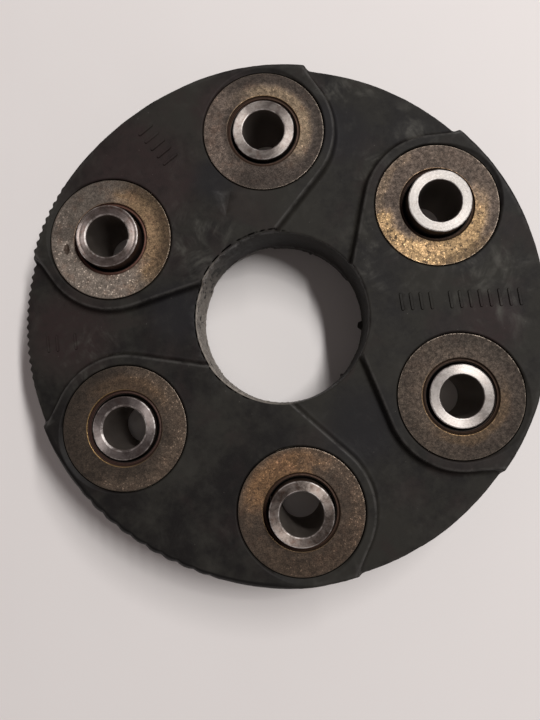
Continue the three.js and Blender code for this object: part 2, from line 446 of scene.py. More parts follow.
def face_sheet(side, rim, hole):
    """One face in the plane: points, triangles, and the numbers of the points round its rim, hole and seats.

    rim and hole are the angles of its boundary points.
    """
    sheet = Sheet()
    loops = {"rim": sheet.add(on_ring(RIM_RADIUS, rim), True)}
    loops["hole"] = sheet.add(on_ring(HOLE_RADIUS, hole), True)
    seat = even_turns(SEAT_SEGMENTS)
    for n, place in PLACES.items():
        loops[n] = sheet.add(place + on_ring(SEAT_RADIUS, seat), True)
    fixed = sheet.count
    for place in PLACES.values():
        for roundings in (1, 1.7):
            sheet.add(place + on_ring(SEAT_RADIUS + roundings * EDGE_ROUNDING, seat), True)
        sheet.scatter(clear_of_edges(place + on_ring(SEAT_RADIUS + 4.3 * EDGE_ROUNDING, seat[::2])))
    for curve in lobe_edges(side):
        first = boundary_number(curve[0], hole, loops["hole"])
        last = boundary_number(curve[-1], rim, loops["rim"])
        inner = sheet.add(curve[1:-1], False)
        sheet.chains += [(first, inner[0]), (inner[-1], last)]
    for roundings in (1, 1.8):
        sheet.add(on_ring(RIM_RADIUS - roundings * EDGE_ROUNDING, rim), False)
    sheet.scatter(clear_of_edges(on_ring(RIM_RADIUS - 4 * EDGE_ROUNDING, rim)))
    for offset in HOLE_RINGS:
        sheet.add(on_ring(HOLE_RADIUS + offset, hole), False)
    if side == "front":
        add_marks(sheet)
    sheet.scatter(field_points(sheet.everything()))
    flat, triangles, origins = sheet.triangulated()
    number = {old: new for new, olds in enumerate(origins) for old in olds if old < fixed}
    middles = np.array([flat[list(t)].mean(0) for t in triangles])
    solid = (np.hypot(*middles.T) > HOLE_RADIUS + SLIVER) & (seat_distance(middles) > SLIVER)
    kept = [tuple(t) for t, good in zip(triangles, solid) if good]
    return flat, kept, {key: [number[i] for i in numbers] for key, numbers in loops.items()}


def boundary_number(point, angles, numbers):
    """The number of the boundary point where a lobe's edge ends."""
    turn = math.atan2(point[1], point[0]) % TURN
    return numbers[int(angle_between(angles, turn).argmin())]


def lobe_share(points, side):
    """How much of the lobe's step stands at each point."""
    distances, shares = zip(*sorted(LOBE_WALL))
    return np.interp(lobe_distance(points, side), distances, shares)


def face_height(points, side):
    """The height of that side's face over each point, with its rounded edges and slight waviness."""
    share = lobe_share(points, side)
    radius = np.hypot(*points.T)
    edge = np.minimum(RIM_RADIUS - radius + 2 * EDGE_ROUNDING * (1 - share), radius - HOLE_RADIUS)
    edge = np.minimum(edge, seat_distance(points))
    drop = EDGE_DROP * np.clip(1 - edge / EDGE_ROUNDING, 0, 1) ** 2
    places = ((x / RIPPLE_SIZE, y / RIPPLE_SIZE, 0) for x, y in points)
    ripple = RIPPLE_HEIGHT * waves(places, RIPPLE_SEEDS[side])
    height = RECESS_LEVEL + LOBE_STEP * share - drop + ripple * np.clip(edge, 0, 1)
    height -= hole_groove(points, side)
    if side == "front":
        sunk = np.clip(triangle_inside(points) / TRIANGLE_SLOPE, 0, 1)
        height += tick_height(points) - TRIANGLE_DEPTH * sunk
    return height


def hole_groove(points, side):
    """Depth of the broken groove behind the hole's lip of flash, on one side of the hole."""
    angles = np.arctan2(points[:, 1], points[:, 0])
    across = np.clip(1 - np.abs(np.hypot(*points.T) - HOLE_RADIUS - GROOVE_OFFSET) / GROOVE_HALF_WIDTH, 0, 1)
    broken = np.clip(0.45 + 1.6 * waves(angles * 22 + 3, seed=61), 0, 1)
    return GROOVE_DEPTHS[side] * smooth_window(angles, GROOVED) * across * broken


def outline_radius(angles, share, side):
    """The disc's outline at those angles: the lobes swell towards their sleeves, and the flash is trimmed."""
    if side == "front":
        lobe = 1.05 + 0.3 * np.cos(6 * angles - math.pi) + 0.55 * smooth_window(angles, BULGED)
        recess = 1.12 - 0.55 * smooth_window(angles, TRIMMED)
        flash = 0.30 * smooth_window(angles, TOOTHED) * np.sin(188 * angles)
        flash = flash + 0.45 * smooth_window(angles, SCALLOPED) * (np.abs(np.sin(47 * angles)) - 0.6)
    else:
        lobe, recess, flash = 0.55, 0.5, 0
    ragged = 0.07 * waves(angles * 31, seed=5) + 0.08 * waves(angles * 5, seed=11)
    return RIM_RADIUS + np.maximum(recess + (lobe - recess) * share + flash + ragged, 0.05)


def fin_slope(angles, side):
    """Where the rim's front edge slopes down to a thin fin."""
    return smooth_window(angles, FINNED) * (side == "front")


def swell(points, side):
    """The face's points moved outwards near the rim, to where the outline is."""
    angles = np.arctan2(points[:, 1], points[:, 0])
    radius = np.hypot(*points.T)
    share = lobe_share(on_ring(RIM_RADIUS, angles), side)
    near = np.clip((radius - RIM_RADIUS + SWELL_WIDTH) / SWELL_WIDTH, 0, 1)
    growth = outline_radius(angles, share, side) - RIM_RADIUS - 0.12 - 0.75 * fin_slope(angles, side)
    return points * ((radius + near ** 2 * share * growth) / radius)[:, None]


def rim_rows(angles, tops, bottoms):
    """Rows of points down the rim's wall, from the front face's edge to the back face's."""
    wall = RIM_RADIUS + 0.1 + 0.06 * waves(angles * 20, seed=31)
    rows = {}
    for (side, sign), edge in zip(SIDES.items(), (tops, -bottoms)):
        share = lobe_share(on_ring(RIM_RADIUS, angles), side)
        outline = outline_radius(angles, share, side)
        drop = 0.9 * fin_slope(angles, side)
        part = [
            (outline - 0.03 - 0.2 * (1 - share), edge - 0.15 * share - 0.05 - drop),
            (outline, edge - 0.4 * share - 0.14 - drop),
            (outline + 0.02, np.minimum(edge - 0.22, RECESS_LEVEL + 0.1)),
            (outline, RECESS_LEVEL - 0.45),
            (RIM_RADIUS + 0.6 * (outline - RIM_RADIUS), RECESS_LEVEL - 0.8),
            (wall, FIN_BOTTOM),
        ]
        rows[side] = [ring_points(radius, angles, sign * height) for radius, height in part]
    middle = [ring_points(wall, angles, z) for z in ROW_HEIGHTS]
    return rows["front"] + middle + rows["back"][::-1]


def hole_rows(angles, tops, bottoms):
    """Rows of points down the hole's wall: a ragged lip, a torn-looking wall, and three nubs low down."""
    ragged = waves(angles * 26, seed=41, octaves=5)
    torn = 0.25 + smooth_window(angles, TORN)
    lip = HOLE_RADIUS - 0.05 - torn * (0.12 + 0.3 * ragged)
    rows = [ring_points(lip, angles, tops - 0.14), ring_points(lip + 0.04, angles, tops - 0.5)]
    for share in WALL_SHARES:
        height = tops + (bottoms - tops) * share
        coarse = waves(((a * 13, z / 5, 2) for a, z in zip(angles, height)), seed=51, octaves=4)
        fine = waves(((a * 30, z / 2.2, 4) for a, z in zip(angles, height)), seed=57, octaves=4)
        rows.append(ring_points(HOLE_RADIUS + 0.05 + 0.3 * (coarse + 0.8 * fine) * torn, angles, height))
    nub = np.zeros(len(angles))
    for middle, reach, half_width in NUBS:
        across = angle_between(angles, middle) * HOLE_RADIUS / half_width
        nub = np.maximum(nub, reach * np.clip(4 * (1 - across), 0, 1))
    for roughness, rise in ((0.16, 0.75), (0.2, 0.12)):
        rows.append(ring_points(HOLE_RADIUS - 0.02 - nub - roughness * ragged, angles, bottoms + rise))
    return rows


def well_rows(place, tops, bottoms):
    """Rows of points down one station's room, from the front seat's edge to the back seat's."""
    slot_radius, slot_half = RING_RADIUS + GAP, RING_HALF + GAP
    profile = [
        (SEAT_RADIUS - 0.06, tops - 0.3), (SEAT_RADIUS - 0.06, tops - 1.2), (SEAT_RADIUS, SEAT_FLOOR),
        (WELL_RADIUS, SEAT_FLOOR), (WELL_RADIUS, slot_half), (slot_radius, slot_half),
        (slot_radius, -slot_half), (WELL_RADIUS, -slot_half), (WELL_RADIUS, -SEAT_FLOOR),
        (SEAT_RADIUS, -SEAT_FLOOR), (SEAT_RADIUS - 0.06, bottoms + 1.2), (SEAT_RADIUS - 0.06, bottoms + 0.3),
    ]
    return [ring_points(r, even_turns(SEAT_SEGMENTS), z) + [*place, 0] for r, z in profile]


def rubber_mesh():
    """The rubber body as one closed mesh, before the room for the cord loops is cut."""
    curves = [curve for side in SIDES for curve in lobe_edges(side)]
    rim = ring_angles(RIM_RADIUS, RIM_SPACING, np.array([curve[-1] for curve in curves]))
    hole = ring_angles(HOLE_RADIUS, HOLE_SPACING, np.array([curve[0] for curve in curves]))
    points, faces, loops = [], [], {}
    total = 0
    for side, sign in SIDES.items():
        flat, triangles, boundary = face_sheet(side, rim, hole)
        points.append(np.column_stack([swell(flat, side), sign * face_height(flat, side)]))
        faces += [(total + a, total + b, total + c)[::sign] for a, b, c in triangles]
        loops[side] = {key: [total + i for i in numbers] for key, numbers in boundary.items()}
        total += len(flat)

    def join(key, rows_of, flip):
        """Closes the front face's boundary to the back face's with rows of points between them."""
        nonlocal total
        so_far = np.vstack(points)
        upper, last = loops["front"][key], loops["back"][key]
        for row in rows_of(so_far[upper, 2], so_far[last, 2]):
            numbers = list(range(total, total + len(row)))
            points.append(row)
            total += len(row)
            faces.extend(strip_faces(upper, numbers, flip))
            upper = numbers
        faces.extend(strip_faces(upper, last, flip))

    join("rim", lambda top, bottom: rim_rows(rim, top, bottom), False)
    join("hole", lambda top, bottom: hole_rows(hole, top, bottom), True)
    for n, place in PLACES.items():
        join(n, lambda top, bottom: well_rows(place, top, bottom), True)
    return make_object("rubber_body_moulding", np.vstack(points), faces)


# ---- cord loops ----

def racetrack(radius, spacing):
    """A closed path round a pair of stations, in the pair's frame, with its outward directions."""
    arc_steps = math.ceil(math.pi * radius / spacing)
    line_steps = math.ceil(2 * HALF_CHORD / spacing)
    path, outward = [], []
    for sign in (1, -1):
        start = 0 if sign > 0 else math.pi
        for step in range(arc_steps):
            turn = start + math.pi * step / arc_steps
            out = np.array([math.cos(turn), math.sin(turn)])
            path.append(np.array([PAIR_DISTANCE, sign * HALF_CHORD]) + radius * out)
            outward.append(out)
        out = np.array([-sign, 0.0])
        for step in range(line_steps):
            y = sign * HALF_CHORD * (1 - 2 * step / line_steps)
            path.append(np.array([PAIR_DISTANCE - sign * radius, y]))
            outward.append(out)
    return np.array(path), np.array(outward)


def swept_loop(name, section, spacing):
    """A closed loop of that section of (outward, height) corners, swept round a loop node's racetrack."""
    path, outward = racetrack(0.5 * (LOOP_OUTER + LOOP_INNER), spacing)
    middle = centre_mm(name)
    axis = math.atan2(middle[1], middle[0])
    sign = 1 if middle[2] > 0 else -1
    rows = []
    for across, height in section:
        flat = rotated(path + outward * across, axis)
        rows.append(np.column_stack([flat, np.full(len(flat), sign * height)]))
    return np.vstack(rows), tube_faces(len(section), len(path), sign < 0)


def box_section(margin):
    half = 0.5 * (LOOP_OUTER - LOOP_INNER) + margin
    low, high = LOOP_BOTTOM - margin, LOOP_TOP + margin
    return [(half, high), (half, low), (-half, low), (-half, high)]


def wound_section():
    """The section of a wound packet: its cords stand out as small rounds all the way round it."""
    cords_high, cords_wide, bulge, steps = 7, 4, 0.22, 5
    half = 0.5 * (LOOP_OUTER - LOOP_INNER)
    corners = [(half, LOOP_TOP), (half, LOOP_BOTTOM), (-half, LOOP_BOTTOM), (-half, LOOP_TOP)]
    section = []
    for k, cords in enumerate((cords_high, cords_wide, cords_high, cords_wide)):
        start, end = np.array(corners[k]), np.array(corners[(k + 1) % 4])
        inward = np.array([[-1, 0], [0, 1], [1, 0], [0, -1]][k])
        for step in range(cords * steps):
            share = step / (cords * steps)
            dip = 0.5 + 0.5 * math.cos(TURN * share * cords)
            section.append(tuple(start + (end - start) * share + inward * bulge * dip))
    return section


def cut_loops(body):
    """Cuts the room for the six cord loops out of the rubber."""
    for name in LOOPS:
        points, faces = swept_loop(name, box_section(GAP), spacing=2.2)
        cutter = make_object(f"room_for_{name}", points, faces, smooth=False)
        cut = body.modifiers.new(cutter.name, "BOOLEAN")
        cut.operation = "DIFFERENCE"
        cut.solver = "MANIFOLD"
        cut.object = cutter
        with bpy.context.temp_override(object=body, active_object=body):
            bpy.ops.object.modifier_apply(modifier=cut.name)
        bpy.data.meshes.remove(cutter.data)


# ---- turned pieces ----

def turned(name, outline, place, segments):
    """A ring turned about Z at a place, from a closed outline of (radius, height) corners up its outside."""
    rows = [ring_points(r, even_turns(segments), z) + [*place, 0] for r, z in outline]
    return make_object(name, np.vstack(rows), tube_faces(len(outline), segments, True))


def corner(centre, radius, start, end, steps):
    """Points of a rounded corner, from one angle to another in degrees."""
    turns = np.radians(np.linspace(start, end, steps))
    return [(centre[0] + radius * math.cos(t), centre[1] + radius * math.sin(t)) for t in turns]


SLEEVE_SEGMENTS = 112
COLLAR_SEGMENTS = 144
SLEEVE_EDGE = 0.3
SLEEVE_MOUTH = {1: 0.3, 2: 0.25, 3: 0.25, 4: 0.35, 5: 0.55, 6: 0.45}
LIP_RADIUS = 10.9
LIP_STEP = 0.5
FACE_RINGS = 12
# Dents in a collar's face by station and side: offset from the station, half length, half width and depth
DENTS = {
    (1, 1): [(-9.0, -12.5, 0.6, 0.5, 0.15)],
    (2, -1): [(11.0, 6.0, 0.8, 0.7, 0.3)],
    (3, 1): [(5.0, 12.5, 0.7, 0.5, 0.2)],
    (6, 1): [(-13.0, -1.4, 1.9, 0.8, 0.5), (-12.4, 0.7, 0.8, 0.6, 0.2)],
}
# Edges sharper than this, in degrees, stay crisp
STEEL_CREASE = 38
RUBBER_CREASE = 50


def eased(corners, ease):
    """A closed outline with small rounded corners, and close points that keep the faces beside them flat."""
    corners = np.array(corners, float)
    outline = []
    for before, at, after in zip(np.roll(corners, 1, 0), corners, np.roll(corners, -1, 0)):
        back = (before - at) / np.hypot(*(before - at))
        ahead = (after - at) / np.hypot(*(after - at))
        outline += [at + back * 2.2 * ease, at + back * ease, at + (back + ahead) * 0.27 * ease]
        outline += [at + ahead * ease, at + ahead * 2.2 * ease]
    return [tuple(point) for point in outline]


def sleeve_outline(n, low, high):
    """A turned sleeve with chamfered ends. The sixth one's front edge is knocked into a low ridge."""
    outer, inner, edge, mouth = SLEEVE_RADIUS, BORE_RADIUS, SLEEVE_EDGE, SLEEVE_MOUTH[n]
    corners = [(outer - edge, low), (outer, low + edge), (outer, high - edge), (outer - edge, high)]
    if n == 6:
        corners[3:] = [(outer - 0.35, high), (outer - 0.95, high - 0.22), (outer - 1.4, high - 0.06)]
    corners += [(inner + mouth, high), (inner, high - mouth), (inner, low + mouth), (inner + mouth, low)]
    return eased(corners, 0.06)


def collar_outline():
    """A pressed collar: a flat flange, a stepped lip at the middle, and a neck down round the sleeve."""
    underside = COLLAR_FACE - COLLAR_SHEET
    outline = [(NECK_OUTER - 0.2, NECK_END), (NECK_OUTER, NECK_END + 0.2), (NECK_OUTER, underside - 0.6)]
    outline += corner((NECK_OUTER + 0.6, underside - 0.6), 0.6, 180, 90, 5)
    outline += [(COLLAR_RADIUS - 0.3, underside)]
    outline += corner((COLLAR_RADIUS - 0.3, underside + 0.3), 0.3, -80, 0, 4)
    outline += corner((COLLAR_RADIUS - 0.22, COLLAR_FACE - 0.22), 0.22, 0, 90, 5)
    outline += [(r, COLLAR_FACE) for r in np.linspace(COLLAR_RADIUS - 0.5, LIP_RADIUS + 0.2, FACE_RINGS)]
    outline += corner((LIP_RADIUS, COLLAR_FACE - 0.2), 0.2, 90, 170, 4)
    ledge = COLLAR_FACE - LIP_STEP
    groove = [(0.27, 0), (0.45, 0.12), (0.62, 0.04)]
    outline += [(LIP_RADIUS - inward, ledge - drop) for inward, drop in groove]
    outline += corner((LIP_RADIUS - 0.85, ledge - 0.1), 0.14, 70, 160, 3)
    outline += corner((NECK_INNER + 0.4, ledge - 0.9), 0.4, 80, 180, 5)
    outline += [(NECK_INNER, COLLAR_FACE - 5), (NECK_INNER, NECK_END + 0.2), (NECK_INNER + 0.2, NECK_END)]
    return outline


def age_collar(collar, n, place, sign):
    """Gives a collar's face the slight waves and dents of a used pressing."""
    for vertex in collar.data.vertices:
        x, y, z = vertex.co / MM
        if abs(z) < COLLAR_FACE - 0.02:
            continue
        across = math.hypot(x - place[0], y - place[1])
        inside = min(max(min(across - LIP_RADIUS, COLLAR_RADIUS - across) / 0.8, 0), 1)
        sink = 0.035 + 0.035 * wave((x / 4, y / 4, sign * n), seed=71, octaves=4)
        for dx, dy, length, width, depth in DENTS.get((n, sign), ()):
            away = math.hypot((x - place[0] - dx) / width, (y - place[1] - dy) / length)
            sink += depth * max(1 - away, 0) ** 0.5
        vertex.co.z -= sign * sink * inside * MM


def flipped(outline):
    return [(r, -z) for r, z in outline][::-1]


def ring_outline():
    outer, inner, half, ease = RING_RADIUS, NECK_INNER, RING_HALF, 0.2
    return [
        (outer - ease, -half), (outer, ease - half), (outer, half - ease), (outer - ease, half),
        (inner + ease, half), (inner, half - ease), (inner, ease - half), (inner + ease, -half),
    ]


# ---- material helpers ----

def add_node(tree, kind, inputs=(), **settings):
    """A new node with its settings, its inputs given as numbers, colours or other nodes' outputs."""
    made = tree.nodes.new(kind)
    for key, value in settings.items():
        setattr(made, key, value)
    for key, value in dict(inputs).items():
        feed(tree, made.inputs[key], value)
    return made


def feed(tree, socket, value):
    if isinstance(value, bpy.types.NodeSocket):
        tree.links.new(value, socket)
    else:
        socket.default_value = value


class Shader:
    """A material's node tree, with short calls for the nodes used here."""

    def __init__(self, name):
        self.material = bpy.data.materials.new(name)
        self.material.use_nodes = True
        self.tree = self.material.node_tree
        self.shader = self.tree.nodes["Principled BSDF"]
        self.place = self.node("ShaderNodeTexCoord").outputs["Object"]

    def node(self, kind, inputs=(), **settings):
        return add_node(self.tree, kind, inputs, **settings)

    def moved(self, x, y, scale=(1, 1, 1)):
        """The place, measured from x and y in millimetres."""
        location = [-x * MM * scale[0], -y * MM * scale[1], 0.0]
        inputs = {"Vector": self.place, "Location": location, "Scale": scale}
        return self.node("ShaderNodeMapping", inputs).outputs[0]

    def vector(self, operation, *inputs):
        output = "Value" if operation in ("LENGTH", "DOT_PRODUCT") else "Vector"
        return self.node("ShaderNodeVectorMath", enumerate(inputs), operation=operation).outputs[output]

    def polar(self, place):
        """The place's distance from the vertical axis, and its direction from there."""
        flat = self.vector("MULTIPLY", place, (1, 1, 0))
        return self.vector("LENGTH", flat), self.vector("NORMALIZE", flat)

    def lean(self, outward, degrees):
        """1 on the side at that angle, -1 on the far side."""
        turn = math.radians(degrees)
        return self.vector("DOT_PRODUCT", outward, (math.cos(turn), math.sin(turn), 0))

    def strokes(self, degrees, size, stretch, seed):
        """Noise drawn out along a direction."""
        rotation = {"Vector": self.place, "Rotation": (0, 0, -math.radians(degrees))}
        turned = self.node("ShaderNodeMapping", rotation).outputs[0]
        inputs = {"Vector": turned, "Location": (seed, seed * 0.7, 0), "Scale": (1 / stretch, 1, 1)}
        return self.noise(size, 4, 0.65, 0.3, place=self.node("ShaderNodeMapping", inputs).outputs[0])

    def near(self, patches):
        """The sum of patches, of x, y and reach in millimetres, each 1 in its middle and 0 past its reach."""
        radii = [(self.polar(self.moved(x, y))[0], reach * MM) for x, y, reach in patches]
        return self.plus(*(self.span(radius, reach, 0.3 * reach) for radius, reach in radii))

    def math(self, operation, a, b=0.0):
        return self.node("ShaderNodeMath", {0: a, 1: b}, operation=operation).outputs[0]

    def times(self, first, *others):
        for other in others:
            first = self.math("MULTIPLY", first, other)
        return first

    def plus(self, first, *others):
        for other in others:
            first = self.math("ADD", first, other)
        return first

    def minus(self, first, second):
        return self.math("SUBTRACT", first, second)

    def capped(self, value):
        return self.math("MINIMUM", value, 1.0)

    def noise(self, size, detail=3, rough=0.55, distort=0, start=None, place=None):
        """Noise with features of about that size in millimetres, with a start of its own if one is given."""
        place = place or (self.moved(*start) if start else self.place)
        inputs = {"Vector": place, "Scale": 1 / (size * MM), "Detail": detail}
        inputs.update({"Roughness": rough, "Distortion": distort})
        return self.node("ShaderNodeTexNoise", inputs).outputs["Fac"]

    def cells(self, size, place=None):
        """The distance to the nearest of scattered points, about that size in millimetres apart."""
        inputs = {"Vector": place or self.place, "Scale": 1 / (size * MM)}
        return self.node("ShaderNodeTexVoronoi", inputs).outputs["Distance"]

    def span(self, value, low, high, to_low=0.0, to_high=1.0):
        """value from low..high to to_low..to_high, clamped and eased."""
        inputs = {"Value": value, "From Min": low, "From Max": high, "To Min": to_low, "To Max": to_high}
        return self.node("ShaderNodeMapRange", inputs, interpolation_type="SMOOTHSTEP").outputs[0]

    def beyond(self, radius, edge, low, high):
        """0 to 1 as the radius goes from low to high, both in millimetres beyond an edge."""
        return self.span(radius, (edge + low) * MM, (edge + high) * MM)

    def mix(self, share, a, b):
        inputs = {0: share, 6: as_colour(a), 7: as_colour(b)}
        return self.node("ShaderNodeMix", inputs, data_type="RGBA").outputs[2]

    def bump(self, height, depth):
        """A bump of that depth in millimetres."""
        inputs = {"Height": height, "Distance": depth * MM, "Strength": 1.0}
        return self.node("ShaderNodeBump", inputs).outputs[0]

    def set(self, **inputs):
        for key, value in inputs.items():
            feed(self.tree, self.shader.inputs[key.replace("_", " ")], value)


def as_colour(value):
    return (*value, 1.0) if isinstance(value, tuple) and len(value) == 3 else value


def rubber_material():
    """Dark rubber: dusty smears and scratches; edges worn shiny and lightened, partly as a painted highlight;
    black painted shade in the hole's groove and on the rim's lower-left fin; and a torn grey wall in the
    hole, laid on the side facing the key light, so partly painted light.
    """
    s = Shader("moulded_rubber")
    radius, outward = s.polar(s.place)
    # Per point: worn edges, whose lightening is partly a painted highlight, and the hole's groove, painted
    # shade
    wear_sheen_and_groove_shade = s.node("ShaderNodeAttribute", attribute_name="wear_sheen_and_groove_shade").outputs["Fac"]
    cloud = s.noise(24, 4, 0.6)
    tint = s.noise(15, 3, 0.5, 0.5, start=(40, 10))
    grain = s.noise(0.35, 4, 0.7)
    medium = s.noise(2.6, 5, 0.7)
    shade = s.plus(cloud, s.times(s.minus(medium, 0.5), 0.35))
    colour = s.mix(s.span(shade, 0.36, 0.66), RUBBER_DARK, RUBBER_LIGHT)
    brown = s.capped(s.plus(s.times(s.span(tint, 0.5, 0.66), 0.4), s.near(BROWN_PATCHES)))
    colour = s.mix(s.times(brown, s.span(medium, 0.3, 0.6, 0.6, 1.0)), colour, RUBBER_BROWN)
    colour = s.mix(s.times(s.near(BLUE_PATCHES), 0.8), colour, RUBBER_BLUE)
    dusty = s.plus(0.2, s.near(DUSTY_PATCHES))
    dust, lines = 0.0, 0.0
    for k, degrees in enumerate(SMEAR_ANGLES):
        patch = s.span(s.noise(10, 4, 0.6, 0.6, start=(29 * k + 60, 19 * k + 25)), 0.5, 0.68)
        smear = s.span(s.strokes(degrees, 4.5, 3, 0.03 * k), 0.44, 0.74)
        scratch = s.span(s.strokes(degrees + 14, 0.6, 8, 0.05 * k + 0.02), 0.71, 0.8)
        dust = s.plus(s.times(smear, patch), dust)
        lines = s.plus(s.times(scratch, patch), lines)
    colour = s.mix(s.times(s.capped(dust), dusty, 0.75), colour, DUST)
    colour = s.mix(s.times(s.capped(lines), dusty, 0.3), colour, PALE_DUST)
    flecks = s.times(s.span(s.cells(1.7), 0.09, 0.04), s.span(medium, 0.52, 0.6))
    colour = s.mix(s.times(flecks, 0.6), colour, PALE_DUST)
    # Painted shade: where the attribute is below 0, in the hole's groove, the colour goes to black.
    colour = s.mix(s.span(wear_sheen_and_groove_shade, -0.1, -0.8), colour, GROOVE_PAINTED_SHADE)
    # Worn edges: less rough, and lighter in colour, partly from wear and partly as a painted highlight
    worn = s.times(s.math("MAXIMUM", wear_sheen_and_groove_shade, 0.0), s.span(medium, 0.34, 0.56, 0.3, 1.0))
    colour = s.mix(s.times(worn, 0.5), colour, WORN_RUBBER_AND_SHEEN)
    # Torn grey on the hole's wall, laid only on the side that faces the key light: partly torn rubber, partly
    # painted light.
    torn = s.noise(1.3, 5, 0.7, place=s.moved(0, 0, (1, 1, 0.35)))
    lit_torn_side = s.span(s.lean(outward, TORN_LIT_MIDDLE), 0.15, 0.85)
    wall = s.times(s.beyond(radius, HOLE_RADIUS, 0.30, 0.12), lit_torn_side, s.span(torn, 0.3, 0.6, 0.6, 1.0))
    colour = s.mix(s.times(wall, 0.95), colour, TORN_RUBBER_AND_LIGHT)
    # Painted shade: the rim's wall and fin on the lower-left, away from the key light, go near black.
    fin_shade = s.times(s.beyond(radius, RIM_RADIUS, -0.2, 0.2), s.span(s.lean(outward, SHADED_FIN_MIDDLE), 0.78, 0.9))
    colour = s.mix(s.times(fin_shade, 0.8), colour, FIN_PAINTED_SHADE)
    rough = s.span(s.plus(cloud, s.times(grain, 0.35)), 0.45, 0.9, 0.52, 0.68)
    height = s.plus(s.times(grain, 0.5), s.times(medium, 0.7), s.times(wall, torn, 3.0), s.times(lines, -0.3))
    s.set(Base_Color=colour, Roughness=s.minus(rough, s.times(worn, 0.24)), Normal=s.bump(height, 0.06))
    s.set(Specular_IOR_Level=0.13)
    return s.material


def collar_material(n, look):
    """Pressed steel with a brown patina, golden in places, about its own station, with painted glints and
    silvery specks on some sides, a painted highlight line at the lip, and black painted shade going into the
    gap round the sleeve.
    """
    s = Shader(f"collar_steel_{n}")
    radius, outward = s.polar(s.moved(*PLACES[n]))
    patch = s.noise(4.5, 5, 0.62, 0.5, start=(13 * n, 7 * n))
    mottle = s.noise(1.15, 6, 0.78, 0.2, start=(3 * n, 11 * n))
    fine = s.noise(0.38, 4, 0.8, start=(5 * n, 2 * n))
    share = s.times(s.minus(radius, LIP_RADIUS * MM), 1 / ((COLLAR_RADIUS - LIP_RADIUS) * MM))
    share = s.plus(share, s.times(s.minus(patch, 0.5), 0.55))
    level = s.span(share, 0.0, 0.75, look["inner"], 1.0)
    gold, silver_glints = 0.0, 0.0
    # Painted glints: each entry lightens one side of the face and puts silvery specks there in place of
    # highlights; its gold is a gilt patina.
    for degrees, half_turn, middle, half, gain, gilt, specks in look["gilt_and_glints"]:
        edge, core = (math.cos(math.radians(half_turn * k)) for k in (1.35, 0.45))
        lean = s.plus(s.lean(outward, degrees), s.times(s.minus(patch, 0.5), 0.9))
        away = s.math("ABSOLUTE", s.minus(share, middle))
        gilt_and_glint = s.times(s.span(lean, edge, core), s.span(away, 1.5 * half, 0.5 * half))
        level = s.plus(level, s.times(gilt_and_glint, gain))
        gold = s.plus(s.times(gilt_and_glint, gilt), gold)
        silver_glints = s.plus(s.times(gilt_and_glint, specks), silver_glints)
    level = s.times(level, s.span(patch, 0.3, 0.7, 0.80, 1.20), s.span(mottle, 0.3, 0.7, 0.6, 1.4))
    level = s.times(level, s.span(fine, 0.3, 0.7, 0.5, 1.5))
    # Silvery specks, painted glints where the glints lie
    dots = s.times(s.span(s.cells(0.75, s.moved(8 * n, 5 * n)), 0.36, 0.14), s.span(mottle, 0.42, 0.56))
    level = s.times(level, s.plus(1.0, s.times(s.capped(silver_glints), dots, 2.2)))
    gold = s.capped(gold)
    tint = s.mix(gold, look["tone"], look["gold"])
    rust = s.times(s.span(s.noise(3.2, 5, 0.7, start=(9 * n, 4 * n)), 0.5, 0.66), look["rust"])
    tint = s.mix(rust, tint, RUST_TINT)
    inputs = {0: tint, "Scale": s.times(level, look["level"])}
    colour = s.node("ShaderNodeVectorMath", inputs, operation="SCALE").outputs[0]
    spots = s.span(s.noise(1.0, 4, 0.7, 0.4, start=(2 * n, 6 * n)), 0.53, 0.62)
    spots = s.times(spots, s.math("MAXIMUM", gold, 0.15), look["spots"])
    if n in PITS:
        away = s.polar(s.moved(*(PLACES[n] + PITS[n]), (1, 0.5, 1)))[0]
        away = s.plus(away, s.times(mottle, 0.6 * MM))
        spots = s.plus(spots, s.times(s.beyond(away, 0, 1.25, 1.0), 0.9))
    colour = s.mix(s.capped(spots), colour, RUST_SPOT)
    # Painted highlight: a bright line at the lip's edge, strongest on the side that shine points to.
    lip_highlight = s.times(s.beyond(radius, LIP_RADIUS, -0.26, -0.14), s.beyond(radius, LIP_RADIUS, 0.22, 0.04))
    lip_highlight = s.times(lip_highlight, s.span(s.lean(outward, look["shine"]), -0.7, 0.8, 0.1, 1.0))
    edge = s.beyond(radius, COLLAR_RADIUS, -0.42, -0.2)
    worn = s.times(s.math("MAXIMUM", lip_highlight, edge), s.span(mottle, 0.36, 0.56))
    # Painting the lip's highlight line
    colour = s.mix(s.times(lip_highlight, 0.6), colour, look["lip_highlight"])
    colour = s.mix(s.times(worn, edge, 0.5), colour, WORN_COLLAR)
    colour = s.mix(s.times(s.beyond(radius, LIP_RADIUS, -0.14, -0.26), 0.92), colour, look["lip"])
    ledge = s.times(s.beyond(radius, LIP_RADIUS, -0.62, -0.75), s.span(mottle, 0.3, 0.6))
    colour = s.mix(s.times(ledge, 0.6), colour, tuple(1.7 * c for c in look["lip"]))
    # Painted shade: the neck's rounding and inside, down into the gap round the sleeve, are darkened to
    # black.
    colour = s.mix(s.beyond(radius, NECK_INNER, 0.45, 0.3), colour, NECK_GAP_SHADE)
    rough = s.minus(s.span(mottle, 0.3, 0.7, 0.68, 0.50), s.times(worn, 0.24))
    s.set(Base_Color=colour, Roughness=rough, Normal=s.bump(s.plus(mottle, s.times(fine, 0.5)), 0.06))
    s.set(Metallic=s.plus(s.times(worn, 0.4), 0.5), Specular_IOR_Level=0.3)
    return s.material


